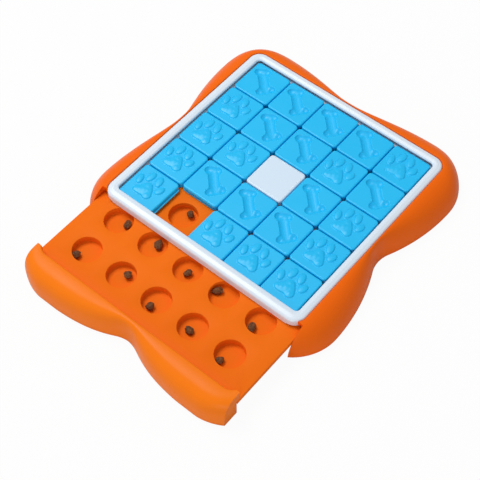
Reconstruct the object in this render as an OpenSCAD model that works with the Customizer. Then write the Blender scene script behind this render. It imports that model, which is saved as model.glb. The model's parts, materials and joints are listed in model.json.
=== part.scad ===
// Sliding-tile treat puzzle for dogs.
// A wave-edged housing holds a board of five by five places with 24 sliding tiles and one gap.
// A drawer with a treat cup under every place runs out of the front of the housing.
// X runs along the front edge, Y to the back, Z up. The origin is in the middle of the base
// plate's underside, with the rubber feet a little below it. The drawer is drawn two places out.

/* [Board] */
// Distance from one tile to the next
pitch = 45; // [44:0.5:46]
// Gap between two neighbouring tiles
tile_gap = 0.6; // [0.5:0.05:0.8]
// Thickness of a tile
tile_t = 7.2; // [6.6:0.1:8]
// Radius of a tile's corners, seen from above
tile_corner_r = 4.5; // [3:0.1:6]
// Radius along a tile's top edge
tile_edge_r = 1.2; // [0.6:0.1:1.8]
// Thickness of the tongues that hold the tiles together
tongue_t = 1.3; // [1:0.1:1.5]
// How far a tongue reaches out of its tile
tongue_out = 1.8; // [1.6:0.1:2.2]
// Height of a paw's pads above the tile
pad_h = 1.2; // [0.6:0.1:1.8]
// Depth of a bone below the tile's top
bone_depth = 1.1; // [0.5:0.1:2]

/* [Housing] */
// How far the lobes reach out past the frame, on each side
lobe_out = 28; // [26:0.5:34]
// How far the waists reach out past the frame, on each side
waist_out = 7.5; // [7:0.25:10]
// Radius of the housing's corners
corner_r = 55; // [50:1:60]
// Radius of the hollow in the middle of each side
waist_r = 32; // [25:1:40]
// Height of the housing from its lower edge to the frame
body_h = 31.8; // [31:0.1:33]
// Fullness of the shoulder, where 2 is an ellipse and more is squarer
shoulder_power = 2.1; // [1.8:0.1:3]
// Wall thickness of the housing
wall = 2.4; // [2:0.1:2.8]
// Thickness of the base plate
base_t = 2; // [1.6:0.1:2.4]

/* [Frame] */
// Width of the frame's bars
frame_bar_w = 9.4; // [9:0.1:10]
// Height of the frame's crest above the tiles
frame_proud = 3.7; // [3:0.1:4.5]
// Wall thickness of the frame
frame_wall = 1.6; // [1.3:0.1:1.9]
// Outer corner radius of the frame
frame_corner_r = 12; // [11:0.5:14]
// Thickness of the track ring under the frame
track_t = 1.8; // [1.5:0.1:2.2]

/* [Drawer] */
// How far the drawer reaches out past the frame, on each side
drawer_side = 3.5; // [3:0.1:3.8]
// How far the drawer is drawn out, in places of the board
places_out = 2; // [0:1:3]
// Radius of a cup at its rim
cup_r = 15; // [12:0.5:17]
// Depth of a cup
cup_depth = 9.5; // [8:0.5:10.5]
// Radius of the fillet round a cup's floor
cup_fillet_r = 3; // [1:0.5:4]
// Thickness of the drawer's deck and cups
drawer_wall = 2; // [1.6:0.1:2.4]
// Height of the drawer's edge
drawer_edge_h = 5.8; // [5:0.1:7]
// Free height under the cups
cup_clear = 8.3; // [7:0.1:10]
// Fullness of the handle's outer face
handle_power = 2.6; // [2:0.1:3.2]
// Wall thickness of the handle
handle_wall = 2.2; // [1.8:0.1:2.6]

/* [Fits] */
// Running clearance between moving parts
run_gap = 0.3; // [0.3:0.05:0.4]
// Clearance above and beside the drawer
drawer_gap = 0.5; // [0.4:0.05:0.7]
// Clearance between the handle and the frame
handle_gap = 0.8; // [0.6:0.1:1.2]
// How far the feet stand out of the base plate
foot_proud = 1; // [0.8:0.1:2]
// Radius of the rubber feet
foot_r = 8; // [6:0.5:9]
// Shank diameter of the screws
screw_d = 2.6; // [2.2:0.1:2.9]
// Head diameter of the screws
screw_head_d = 5; // [4.4:0.1:5.2]

/* [Hidden] */
$fn = 48;
NUDGE = 1;

// Board layout from the front row to the back row, each from left to right
LAYOUT = [
    ["paw", "", "paw", "paw", "paw"],
    ["paw", "bone", "bone", "bone", "paw"],
    ["paw", "paw", "plain", "bone", "paw"],
    ["paw", "bone", "bone", "paw", "bone"],
    ["bone", "bone", "bone", "bone", "paw"]
];
SIDE = len(LAYOUT);
CELLS = [for (r = [1:SIDE], c = [1:SIDE]) [r, c]];
function kind(cell) = LAYOUT[cell[0] - 1][cell[1] - 1];
function tile_name(cell) = str(kind(cell), "_tile_r", cell[0], "c", cell[1]);
TILES = [for (cell = CELLS) if (kind(cell) != "") cell];

// Heights, from the underside of the housing and the base plate up
underside = 0;
base_top = underside + base_t;
cup_bottom = base_top + cup_clear;
deck_z = cup_bottom + drawer_wall + cup_depth;
track_z = deck_z + drawer_gap;
track_top = track_z + track_t;
tongue_z = track_top + run_gap;
groove_top = tongue_z + tongue_t + run_gap;
tile_top = track_z + tile_t;
shoulder_z = underside + body_h;
crest_z = tile_top + frame_proud;
edge_z = deck_z - drawer_edge_h;

// Half widths, from the middle of the board out
board_half = SIDE * pitch / 2;
tile_half = (pitch - tile_gap) / 2;
frame_in = board_half + 0.1;
frame_out = frame_in + frame_bar_w;
drawer_half = frame_out + drawer_side;
bay_half = drawer_half + drawer_gap;
body_half = frame_out + lobe_out;
waist_half = frame_out + waist_out;
frame_fit = frame_out + run_gap;

// Drawer positions, with the drawer shut; drawer_y moves them to where it is drawn
drawer_y = -places_out * pitch;
handle_in = frame_out + handle_gap;
horn_y = -(frame_out - frame_corner_r / 2);
bay_front = horn_y + drawer_gap;
tray_back = board_half + 2;

// Colours
ORANGE = [0.96, 0.47, 0.13];
BLUE = [0.22, 0.76, 0.95];
WHITE = [0.89, 0.91, 0.96];
STEEL = [0.6, 0.6, 0.62];
RUBBER = [0.2, 0.2, 0.2];

// ---------------------------------------------------------------------------------------------
// The wave outline: in each eighth a corner arc, a long flank arc and half a waist arc,
// every arc tangent to the next. An inset moves the whole outline inwards by that much.

CORNER_STEPS = 5;
FLANK_STEPS = 4;
WAIST_STEPS = 3;

corner_c = body_half - corner_r;
lobe_rise = body_half - waist_half;
flank_r = (pow(corner_c, 2) + pow(lobe_rise, 2) - 2 * waist_r * lobe_rise) / (2 * lobe_rise);
flank_cx = body_half - flank_r;
waist_cx = waist_half + waist_r;
flank_angle = -atan2(corner_c, waist_cx - flank_cx);

function arc_point(cx, cy, r, angle) = [cx + r * cos(angle), cy + r * sin(angle)];

// One eighth, from the diagonal down to the middle of the right side
function eighth(inset) = concat(
    [for (i = [0:CORNER_STEPS - 1])
        arc_point(corner_c, corner_c, corner_r - inset, 45 - 45 * i / CORNER_STEPS)],
    [for (i = [0:FLANK_STEPS - 1])
        arc_point(flank_cx, corner_c, flank_r - inset, flank_angle * i / FLANK_STEPS)],
    [for (i = [0:WAIST_STEPS])
        arc_point(waist_cx, 0, waist_r + inset,
            180 + flank_angle * (1 - i / WAIST_STEPS))]
);

function reversed(list) = [for (i = [len(list) - 1:-1:0]) list[i]];
function without_last(list) = [for (i = [0:len(list) - 2]) list[i]];
function quarter_turn(list, n) =
    [for (p = list) [p[0] * cos(90 * n) - p[1] * sin(90 * n), p[0] * sin(90 * n) + p[1] * cos(90 * n)]];

// One quarter, from the middle of the right side to just before the middle of the back
function quarter(inset) =
    let (half = reversed(eighth(inset)), other = [for (p = eighth(inset)) [p[1], p[0]]])
    concat(without_last(half), without_last(other));

function outline(inset) = [for (n = [0:3]) each quarter_turn(quarter(inset), n)];

// The point of a rounded square that lies nearest to a point outside it
function on_rounded_square(p, half, r) =
    let (
        core = half - r,
        base = [min(max(p[0], -core), core), min(max(p[1], -core), core)],
        away = p - base
    )
    base + away * r / norm(away);

// ---------------------------------------------------------------------------------------------
// Shared shapes

// Height shares and inset shares of a shoulder's rings, from its foot up to its crown
function shoulder_steps(levels) = [for (i = [0:levels]) 90 * i / levels];
function rise_share(angle, power) = pow(sin(angle), 2 / power);
function inset_share(angle, power) = 1 - pow(cos(angle), 2 / power);

// A ring of points: the outline drawn in towards the frame by a share, at one height
function ring(low, half, r, share, z) =
    [for (p = low) let (q = p + (on_rounded_square(p, half, r) - p) * share) [q[0], q[1], z]];

function shoulder_rings(low, half, r, foot_z, top_z, power, levels) =
    [for (a = shoulder_steps(levels))
        ring(low, half, r, inset_share(a, power), foot_z + (top_z - foot_z) * rise_share(a, power))];

function flat_list(lists) = [for (list = lists) each list];

// Two triangles for each cell of a grid of points; wrapped grids close on themselves
function grid_faces(rows, columns, wrap_rows, wrap_columns) =
    [for (i = [0:rows - (wrap_rows ? 1 : 2)], k = [0:columns - (wrap_columns ? 1 : 2)])
        let (
            next_i = (i + 1) % rows, next_k = (k + 1) % columns,
            a = i * columns + k, b = i * columns + next_k,
            c = next_i * columns + next_k, d = next_i * columns + k
        )
        each [[a, d, b], [b, d, c]]];

// A solid lofted through rings, flat above and below
module loft(rings) {
    n = len(rings[0]);
    last = len(rings) - 1;
    bottom = [for (k = [0:n - 1]) k];
    top = [for (k = [n - 1:-1:0]) last * n + k];
    polyhedron(flat_list(rings), concat(grid_faces(last + 1, n, false, true), [bottom, top]));
}

// A rounded square, seen from above, built of true arcs
module rounded_square(half, r) {
    core = half - r;
    square([2 * half, 2 * core], center = true);
    square([2 * core, 2 * half], center = true);
    for (x = [-core, core], y = [-core, core]) translate([x, y]) circle(r);
}

module rounded_slab(half, r, low_z, top_z) {
    translate([0, 0, low_z]) linear_extrude(top_z - low_z) rounded_square(half, r);
}

// Sweeps the profile drawn by the children round a rounded square; x = 0 is the corner's centre
module swept_bar(core) {
    for (n = [0:3]) rotate(90 * n) {
        translate([core, core, 0]) rotate_extrude(angle = 90) children();
        translate([core, core, 0]) rotate([90, 0, 0]) linear_extrude(2 * core) children();
    }
}

module block(x, y, z) {
    translate([x[0], y[0], z[0]]) cube([x[1] - x[0], y[1] - y[0], z[1] - z[0]]);
}

module mirrored_x() {
    children();
    mirror([1, 0, 0]) children();
}

module at_points(points) {
    for (p = points) translate([p[0], p[1], 0]) children();
}

// ---------------------------------------------------------------------------------------------
// Fixings

boss_r = 4.2;
pilot_d = screw_d - 0.4;
pilot_extra = 0.4;
hole_d = screw_d + 0.6;
thread_d = screw_d - 0.6;
head_h = 1.8;
base_screw_in = 8;
track_screw_in = 2.8;
front_screw_in = 4.4;
head_sunk = 0.4;
head_space_r = screw_head_d / 2 + 0.2;
screw_seat = underside + head_sunk + head_h;
seat_t = 1.6;
pad_top = screw_seat + seat_t;
side_boss_x = bay_half + drawer_gap + 2 * boss_r + 1;
lobe_y = corner_c - 6;
BASE_SCREWS = [
    [side_boss_x, lobe_y], [-side_boss_x, lobe_y], [side_boss_x, -lobe_y], [-side_boss_x, -lobe_y],
    [lobe_y, side_boss_x], [-lobe_y, side_boss_x]
];
ear_x = bay_half + boss_r + 0.6;
ear_y = lobe_y - 3 * boss_r;
ear_r = 4;
TRACK_SCREWS = [
    [ear_x, ear_y], [-ear_x, ear_y], [ear_x, -ear_y], [-ear_x, -ear_y],
    [ear_y, ear_x], [-ear_y, ear_x]
];
lug_t = 2.2;
lug_gap = 5.8;
lug_top = deck_z - drawer_wall - lug_gap;
lug_y = -(handle_in - handle_gap - boss_r - 1);
FRONT_SCREWS = [for (x = [-1.5, -0.5, 0.5, 1.5]) [x * pitch, lug_y]];

// A pan-head screw that points up; z is the face that its head bears on
module screw(z, length) {
    translate([0, 0, z - head_h]) cylinder(d = screw_head_d, h = head_h);
    translate([0, 0, z]) cylinder(d = thread_d, h = length);
}

// A hole for a screw's thread that starts at a face at height z
module pilot(z, screw_in) {
    translate([0, 0, z - NUDGE]) cylinder(d = pilot_d, h = NUDGE + screw_in + pilot_extra);
}

// A through hole for a screw in a plate that starts at height z
module screw_hole(z, t) {
    translate([0, 0, z - NUDGE]) cylinder(d = hole_d, h = t + 2 * NUDGE);
}

// ---------------------------------------------------------------------------------------------
// Housing

rim_w = 2;
lip_t = 2;
rim_z = track_top + lip_t + run_gap;
rim_r = frame_corner_r + run_gap;

// The moulded shell in one loft: up the shoulder, down the opening for the frame, round the rim
// that holds down the frame's lip, and back down the inside of the wall
module housing_shell() {
    outer = outline(0);
    inner = outline(wall);
    rings = concat(
        shoulder_rings(outer, frame_fit, rim_r, underside, shoulder_z, shoulder_power, 8),
        [ring(outer, frame_fit, rim_r, 1, rim_z),
         ring(outer, frame_fit + rim_w, rim_r + rim_w, 1, rim_z)],
        reversed(shoulder_rings(
            inner, frame_fit + rim_w, rim_r + rim_w, underside, shoulder_z - wall, shoulder_power, 4))
    );
    polyhedron(flat_list(rings), grid_faces(len(rings), len(outer), true, true));
}

// Ribs that close the hollow front lobes beside the drawer
cheek_t = 2;
cheek_back = -(corner_c + 5);

module cheeks() {
    mirrored_x() block([bay_half, bay_half + cheek_t], [-body_half, cheek_back], [-NUDGE, body_h]);
}

module bosses() {
    at_points(BASE_SCREWS) translate([0, 0, pad_top]) cylinder(r = boss_r, h = body_h);
    at_points(TRACK_SCREWS) translate([0, 0, track_top]) cylinder(r = boss_r, h = body_h);
}

// The space inside the housing, up to the middle of its wall
module mid_wall_space() {
    loft(without_last(shoulder_rings(outline(wall / 2), frame_fit + rim_w / 2, rim_r + rim_w / 2,
        underside, shoulder_z - wall / 2, shoulder_power, 6)));
}

module housing() {
    color(ORANGE) difference() {
        union() {
            housing_shell();
            intersection() {
                mid_wall_space();
                union() {
                    cheeks();
                    bosses();
                }
            }
        }
        at_points(BASE_SCREWS) pilot(pad_top, base_screw_in);
        at_points(TRACK_SCREWS) pilot(track_top, track_screw_in);
        block([-bay_half, bay_half], [-body_half - NUDGE, bay_front], [-NUDGE, crest_z]);
    }
}

// ---------------------------------------------------------------------------------------------
// Base plate with the drawer's rails and stops

rail_t = 2.5;
rail_x = drawer_half - drawer_wall / 2 - rail_t / 2;
rail_top = edge_z - run_gap;
stop_w = 8;
stop_t = 4;
stop_x = board_half - pitch / 2 + cup_r + drawer_wall + stop_w;
stop_h = 4;
travel_out = 4 * pitch;
lug_back = tray_back - stop_t;
stop_y = lug_back - travel_out - run_gap - stop_t;
foot_in = 1;
foot_t = foot_in + foot_proud;
foot_gap = 0.1;
plate_gap = 0.3;
FEET = [
    [corner_c, corner_c], [-corner_c, corner_c], [corner_c, -corner_c], [-corner_c, -corner_c]
];

// The plate lies inside the housing's wall, behind the drawer's front and round the cheeks
module plate_outline() {
    difference() {
        polygon(outline(wall + plate_gap));
        translate([-bay_half, -body_half]) square([2 * bay_half, body_half - frame_out]);
        mirrored_x() translate([bay_half - NUDGE, -body_half])
            square([NUDGE + cheek_t + plate_gap, body_half + cheek_back + plate_gap]);
    }
}

module rails() {
    mirrored_x() block(
        [rail_x - rail_t / 2, rail_x + rail_t / 2], [-frame_out, tray_back], [underside, rail_top]);
}

// Posts that the lugs at the drawer's back meet when it is drawn right out
module stop_posts() {
    mirrored_x() block([stop_x - stop_w / 2, stop_x + stop_w / 2],
        [stop_y, stop_y + stop_t], [underside, cup_bottom + stop_h]);
}

module base_plate() {
    color(ORANGE) difference() {
        union() {
            linear_extrude(base_t) plate_outline();
            at_points(BASE_SCREWS) cylinder(r = boss_r, h = pad_top);
            rails();
            stop_posts();
        }
        at_points(FEET) translate([0, 0, foot_in - foot_t]) cylinder(r = foot_r, h = foot_t);
        at_points(BASE_SCREWS) {
            screw_hole(underside, pad_top);
            translate([0, 0, -NUDGE]) cylinder(r = head_space_r, h = screw_seat + NUDGE);
        }
    }
}

module feet() {
    color(RUBBER) at_points(FEET) translate([0, 0, -foot_proud])
        cylinder(r = foot_r - foot_gap, h = foot_t);
}

module base_screws() {
    color(STEEL) at_points(BASE_SCREWS) screw(screw_seat, seat_t + base_screw_in);
}

// ---------------------------------------------------------------------------------------------
// White frame and the track ring under it

crest_r = frame_bar_w / 2 + 1.2;
side_top = tile_top + frame_proud / 2;
frame_core = frame_out - frame_corner_r;

// Section of a bar, hollow from below, with a round crest; x is measured from the corner's centre
module bar_section(outer_low) {
    inner = frame_corner_r - frame_bar_w;
    mid = inner + frame_bar_w / 2;
    difference() {
        union() {
            intersection() {
                translate([mid, crest_z - crest_r]) circle(crest_r);
                translate([inner, tile_top]) square([frame_bar_w, 2 * crest_r]);
            }
            translate([inner, groove_top]) square([frame_wall, side_top - groove_top]);
            translate([inner + frame_bar_w - frame_wall, outer_low])
                square([frame_wall, side_top - outer_low]);
        }
        translate([inner + frame_wall, outer_low - NUDGE])
            square([frame_bar_w - 2 * frame_wall, tile_top + NUDGE - outer_low]);
    }
}

// What lies in the way of the drawer's front when it is shut
module shut_space() {
    difference() {
        block([-body_half, body_half], [-body_half, bay_front], [0, crest_z]);
        rounded_slab(frame_out, frame_corner_r, -NUDGE, crest_z + NUDGE);
    }
}

module frame_lip() {
    difference() {
        rounded_slab(frame_out + lip_t, frame_corner_r + lip_t, track_top, track_top + lip_t);
        rounded_slab(frame_out - frame_wall / 2, frame_corner_r - frame_wall / 2,
            track_top - NUDGE, track_top + lip_t + NUDGE);
        block([-body_half, body_half], [-body_half, bay_front], [0, crest_z]);
    }
}

// The front bar's face reaches down to just above the drawer
module front_face() {
    block([-frame_core, frame_core], [-frame_out, -frame_out + frame_wall], [track_z, tile_top]);
}

module top_frame() {
    color(WHITE) {
        swept_bar(frame_core) bar_section(track_top);
        frame_lip();
        front_face();
    }
}

ring_out = frame_out + lip_t;

// The rib enters the grooves of the tiles on the left and front sides
module ring_rib() {
    rib_in = board_half - (tongue_out - tile_gap / 2);
    difference() {
        block([-board_half - frame_wall, board_half], [-board_half - frame_wall, board_half],
            [track_z, tongue_z + tongue_t]);
        block([-rib_in, board_half + NUDGE], [-rib_in, board_half + NUDGE], [0, crest_z]);
        block([-board_half, board_half + NUDGE], [-board_half, board_half + NUDGE], [0, tongue_z]);
        block([-board_half - pitch, -board_half + tile_corner_r],
            [-board_half - pitch, -board_half + tile_corner_r], [0, crest_z]);
    }
}

module ring_plate() {
    difference() {
        union() {
            rounded_slab(ring_out, frame_corner_r + lip_t, track_z, track_top);
            at_points(TRACK_SCREWS) translate([0, 0, track_z]) cylinder(r = ear_r, h = track_t);
            for (p = TRACK_SCREWS) ear_web(p);
        }
        block([-board_half, board_half], [-board_half, board_half], [0, crest_z]);
    }
}

module track_ring() {
    color(WHITE) difference() {
        union() {
            ring_plate();
            ring_rib();
        }
        block([-body_half, body_half], [-body_half, -frame_out + frame_wall + run_gap / 2], [0, crest_z]);
        shut_space();
        at_points(TRACK_SCREWS) screw_hole(track_z, track_t);
    }
}

// Joins an ear to the ring, inwards from the screw
module ear_web(p) {
    sideways = abs(p[0]) > abs(p[1]);
    reach = ear_x - frame_out;
    span = sideways ? [reach, 2 * ear_r] : [2 * ear_r, reach];
    place = sideways
        ? [p[0] > 0 ? p[0] - reach : p[0], p[1] - ear_r]
        : [p[0] - ear_r, p[1] - reach];
    translate([place[0], place[1], track_z]) cube([span[0], span[1], track_t]);
}

module track_screws() {
    color(STEEL) at_points(TRACK_SCREWS) screw(track_z, track_t + track_screw_in);
}

// ---------------------------------------------------------------------------------------------
// Drawer

// Inside of a cup: straight wall, filleted floor
module cup_inside() {
    floor_z = deck_z - cup_depth;
    translate([0, 0, floor_z]) rotate_extrude() {
        square([cup_r - cup_fillet_r, cup_depth + NUDGE]);
        translate([0, cup_fillet_r]) square([cup_r, cup_depth + NUDGE - cup_fillet_r]);
        intersection() {
            translate([cup_r - cup_fillet_r, cup_fillet_r]) circle(cup_fillet_r);
            square([cup_r, cup_fillet_r]);
        }
    }
}

module cup_outside() {
    translate([0, 0, cup_bottom]) cylinder(r = cup_r + drawer_wall, h = cup_depth);
}

CUPS = [for (cell = CELLS) [(cell[1] - (SIDE + 1) / 2) * pitch, (cell[0] - (SIDE + 1) / 2) * pitch]];
tray_front = -(handle_in - run_gap);
deck_mid = deck_z - drawer_wall / 2;

// Deck with a skirt round its sides and back
module tray_deck() {
    difference() {
        block([-drawer_half, drawer_half], [tray_front, tray_back], [edge_z, deck_z]);
        block([-drawer_half + drawer_wall, drawer_half - drawer_wall],
            [tray_front - NUDGE, tray_back - drawer_wall], [edge_z - NUDGE, deck_z - drawer_wall]);
    }
}

module drawer_tray() {
    color(ORANGE) translate([0, drawer_y, 0]) difference() {
        union() {
            tray_deck();
            at_points(CUPS) cup_outside();
            at_points(FRONT_SCREWS) translate([0, 0, lug_top]) cylinder(r = boss_r, h = deck_mid - lug_top);
            mirrored_x() block(
                [stop_x - stop_w / 2, stop_x + stop_w / 2], [lug_back, tray_back], [cup_bottom, deck_mid]);
        }
        at_points(CUPS) cup_inside();
        at_points(FRONT_SCREWS) pilot(lug_top, front_screw_in);
    }
}

// The drawer's front carries on the housing's outline; its loft ends just inside its back face
handle_tuck = 1;
handle_half = handle_in - handle_tuck;
handle_loft_r = frame_corner_r + handle_gap - handle_tuck;
HANDLE_POINTS = [for (p = outline(0)) if (p[1] < -corner_c - NUDGE) p];
HANDLE_RINGS = concat(
    [ring(HANDLE_POINTS, handle_half, handle_loft_r, 0, underside - NUDGE)],
    shoulder_rings(HANDLE_POINTS, handle_half, handle_loft_r, underside, crest_z, handle_power, 9)
);

// Space of the drawer's front: between the housing's cut faces, in front of the frame, with a
// horn round each corner of the frame that stands on the deck
module front_space() {
    difference() {
        block([-drawer_half, drawer_half], [-body_half - NUDGE, horn_y], [underside, crest_z + NUDGE]);
        rounded_slab(handle_in, frame_corner_r + handle_gap, -2 * NUDGE, crest_z + 2 * NUDGE);
        block([-body_half, body_half], [-handle_in, horn_y + NUDGE], [-2 * NUDGE, deck_z]);
    }
}

// Distance from the outline at which the outer face has risen a wall's thickness above a height
function pocket_inset(top_z) =
    let (share = (top_z + handle_wall - underside) / (crest_z - underside))
    handle_wall + (body_half - handle_half) * inset_share(asin(pow(share, handle_power / 2)), handle_power);

// Half width of the solid middle of the handle, behind the hollow of the outline
handle_web = waist_r * 0.6;

// Hollows under the handle's two lobes, in steps that stay a wall's thickness inside it
module handle_pockets() {
    for (rise = [0.4, 0.68, 0.84]) {
        top_z = rise * crest_z;
        translate([0, 0, -2 * NUDGE]) linear_extrude(top_z + 2 * NUDGE) intersection() {
            polygon(outline(pocket_inset(top_z)));
            mirrored_x() translate([handle_web, -body_half])
                square([drawer_half - handle_wall - handle_web, body_half - handle_in - handle_wall]);
        }
    }
}

module front_lugs() {
    difference() {
        at_points(FRONT_SCREWS) block(
            [-boss_r, boss_r], [-handle_in - lug_y - handle_wall / 2, boss_r], [lug_top - lug_t, lug_top]);
        at_points(FRONT_SCREWS) screw_hole(lug_top - lug_t, lug_t);
    }
}

module drawer_front() {
    color(ORANGE) translate([0, drawer_y, 0]) {
        intersection() {
            loft(HANDLE_RINGS);
            difference() {
                front_space();
                handle_pockets();
            }
        }
        front_lugs();
    }
}

module front_screws() {
    color(STEEL) translate([0, drawer_y, 0]) at_points(FRONT_SCREWS)
        screw(lug_top - lug_t, lug_t + front_screw_in);
}

// ---------------------------------------------------------------------------------------------
// Tiles

tile_core = tile_half - tile_corner_r;
groove_depth = tongue_out - tile_gap + run_gap;

// Body with rounded corners and a rounded top edge
module tile_body() {
    low = tile_top - tile_t;
    rounded_slab(tile_half, tile_corner_r, low, tile_top - tile_edge_r);
    rounded_slab(tile_half - tile_edge_r, tile_corner_r - tile_edge_r, low, tile_top);
    swept_bar(tile_core) intersection() {
        translate([tile_corner_r - tile_edge_r, tile_top - tile_edge_r]) circle(tile_edge_r);
        square([tile_corner_r, tile_top]);
    }
}

module tile_tongues() {
    block([0, tile_half + tongue_out], [-tile_core, tile_core], [tongue_z, tongue_z + tongue_t]);
    block([-tile_core, tile_core], [0, tile_half + tongue_out], [tongue_z, tongue_z + tongue_t]);
}

module tile_grooves() {
    block([-tile_half - NUDGE, -tile_half + groove_depth], [-pitch, pitch],
        [tongue_z - run_gap, groove_top]);
    block([-pitch, pitch], [-tile_half - NUDGE, -tile_half + groove_depth],
        [tongue_z - run_gap, groove_top]);
}

module plain_tile() {
    difference() {
        union() {
            tile_body();
            tile_tongues();
        }
        tile_grooves();
    }
}

// A low round dome with the given footprint radius
module dome(r, h) {
    ball_r = (r * r + h * h) / (2 * h);
    translate([0, 0, h - ball_r]) intersection() {
        sphere(ball_r, $fn = 64);
        translate([0, 0, ball_r - h - NUDGE / 2]) cylinder(r = r + NUDGE, h = h + NUDGE);
    }
}

// Places in tile widths from the middle, with the footprint radius of each pad
TOES = [[-0.321, 0.058, 0.1], [-0.15, 0.242, 0.11], [0.092, 0.245, 0.11], [0.256, 0.067, 0.1]];
HEEL = [[-0.03, -0.11, 0.17], [-0.17, -0.195, 0.11], [0.1, -0.195, 0.11]];

module paw_tile() {
    plain_tile();
    translate([0, 0, tile_top]) {
        for (p = TOES) translate([p[0], p[1], 0] * pitch) dome(p[2] * pitch, pad_h);
        for (p = HEEL) translate([p[0], p[1], 0] * pitch) dome(p[2] * pitch, pad_h);
    }
}

// Bone, in tile widths: two pairs of knobs joined by a shaft
bone_end = 0.28;
bone_knob_out = 0.12;
bone_knob_r = 0.1;
bone_shaft_half = 0.1;
bone_middle = [-0.005, 0.05];

// A bone on the tile's diagonal, sunk into it
module bone_sink() {
    translate([bone_middle[0], bone_middle[1], 0] * pitch)
        translate([0, 0, -bone_depth]) linear_extrude(bone_depth + NUDGE) rotate(-45) {
        square([2 * bone_end, 2 * bone_shaft_half] * pitch, center = true);
        for (x = [-bone_end, bone_end], y = [-bone_knob_out, bone_knob_out])
            translate([x, y] * pitch) circle(bone_knob_r * pitch);
    }
}

module bone_tile() {
    difference() {
        plain_tile();
        translate([0, 0, tile_top]) bone_sink();
    }
}

module tile(cell) {
    translate([(cell[1] - (SIDE + 1) / 2) * pitch, (cell[0] - (SIDE + 1) / 2) * pitch, 0]) {
        if (kind(cell) == "paw") color(BLUE) paw_tile();
        if (kind(cell) == "bone") color(BLUE) bone_tile();
        if (kind(cell) == "plain") color(WHITE) plain_tile();
    }
}

// ---------------------------------------------------------------------------------------------

housing();
base_plate();
top_frame();
track_ring();
drawer_tray();
drawer_front();
feet();
base_screws();
track_screws();
front_screws();
for (cell = TILES) {
    tile(cell);
}
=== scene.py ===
import json
import math
import random

import bmesh
import bpy
from mathutils import Matrix, Vector, noise

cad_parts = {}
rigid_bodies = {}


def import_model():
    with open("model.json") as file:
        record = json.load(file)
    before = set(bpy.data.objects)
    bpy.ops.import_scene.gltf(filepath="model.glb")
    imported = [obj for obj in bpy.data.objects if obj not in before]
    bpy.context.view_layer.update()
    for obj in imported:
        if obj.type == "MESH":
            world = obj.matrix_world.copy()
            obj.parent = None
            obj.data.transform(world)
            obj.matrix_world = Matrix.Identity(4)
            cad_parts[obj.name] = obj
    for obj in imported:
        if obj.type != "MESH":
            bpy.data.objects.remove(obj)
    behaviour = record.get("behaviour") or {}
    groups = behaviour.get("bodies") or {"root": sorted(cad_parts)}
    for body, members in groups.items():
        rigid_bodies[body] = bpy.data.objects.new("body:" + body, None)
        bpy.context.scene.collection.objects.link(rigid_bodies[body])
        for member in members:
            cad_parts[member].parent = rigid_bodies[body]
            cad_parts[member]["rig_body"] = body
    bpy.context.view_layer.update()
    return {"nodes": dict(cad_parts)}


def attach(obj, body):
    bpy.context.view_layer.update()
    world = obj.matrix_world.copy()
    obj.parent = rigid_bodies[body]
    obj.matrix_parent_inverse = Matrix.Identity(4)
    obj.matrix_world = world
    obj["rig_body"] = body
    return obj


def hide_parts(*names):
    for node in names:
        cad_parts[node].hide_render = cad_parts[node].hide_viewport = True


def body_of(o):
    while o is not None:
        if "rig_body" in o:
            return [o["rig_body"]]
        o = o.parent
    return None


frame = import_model()

MM = 0.001

# Heights and half widths in millimetres, as in the part's source
PITCH = 45
UNDERSIDE = 0
CUP_BOTTOM = 10.3
EDGE_LOW = 16
DECK_Z = 21.8
TRACK_Z = 22.3
TRACK_TOP = 24.1
TONGUE_Z = 24.4
GROOVE_TOP = 26
TILE_TOP = 29.5
SHOULDER_Z = 31.8
CREST_Z = 33.18
PAD_TOP = 3.8
BOARD_HALF = 112.5
FRAME_OUT = 123
FRAME_CORNER = 13
DRAWER_HALF = 125.5
BAY_HALF = 126
BODY_HALF = 150
HORN_Y = -119
BAY_FRONT = -118.6
DRAWER_OUT = -90
WALL = 2.4
BOSS_R = 4.2

# Half width and corner radius of the housing's opening for the frame, and of the handle's
FRAME_FIT = 123.2
FRAME_MOUTH = (FRAME_FIT, 13.2)
HANDLE_IN = 123.4
HANDLE_MOUTH = (HANDLE_IN, 12.8)

# Just clear of the part, where cuts end
CLEAR_FRONT = -151
CLEAR_LOW = -1
CLEAR_TOP = 40


# ---------------------------------------------------------------------------------------------
# Camera, lights and floor

CAMERA_AT = Vector((0.423, -0.5692, 0.9522))
CAMERA_TO = Vector((0.0203, -0.0813, 0.0295))

bpy.ops.object.select_all(action="DESELECT")
bpy.ops.object.camera_add(location=CAMERA_AT)
camera = bpy.context.object
camera.rotation_euler = (CAMERA_TO - CAMERA_AT).to_track_quat("-Z", "Y").to_euler()
camera.data.lens = 86.98
camera.data.sensor_width = 36
camera.data.clip_end = 20
bpy.context.scene.camera = camera
bpy.context.scene.view_settings.view_transform = "Standard"


def area_light(name, place, target, size, watts):
    """A square softbox at a place, turned to a target."""
    bpy.ops.object.light_add(type="AREA", location=place)
    light = bpy.context.object
    light.name = name
    light.data.size = size
    light.data.energy = watts
    light.rotation_euler = (Vector(target) - Vector(place)).to_track_quat("-Z", "Y").to_euler()


area_light("key_softbox", (-0.92, -0.06, 1.94), (0, -0.04, 0), 0.95, 28)
area_light("front_softbox", (0.85, -1.72, 0.44), (0, -0.1, 0.01), 0.76, 8)


# ---------------------------------------------------------------------------------------------
# Node and colour helpers

def srgb(code):
    """A hex colour such as F07A2B, turned to linear light."""
    shares = [int(code[i:i + 2], 16) / 255 for i in (0, 2, 4)]
    return [s / 12.92 if s <= 0.04045 else ((s + 0.055) / 1.055) ** 2.4 for s in shares] + [1.0]


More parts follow.
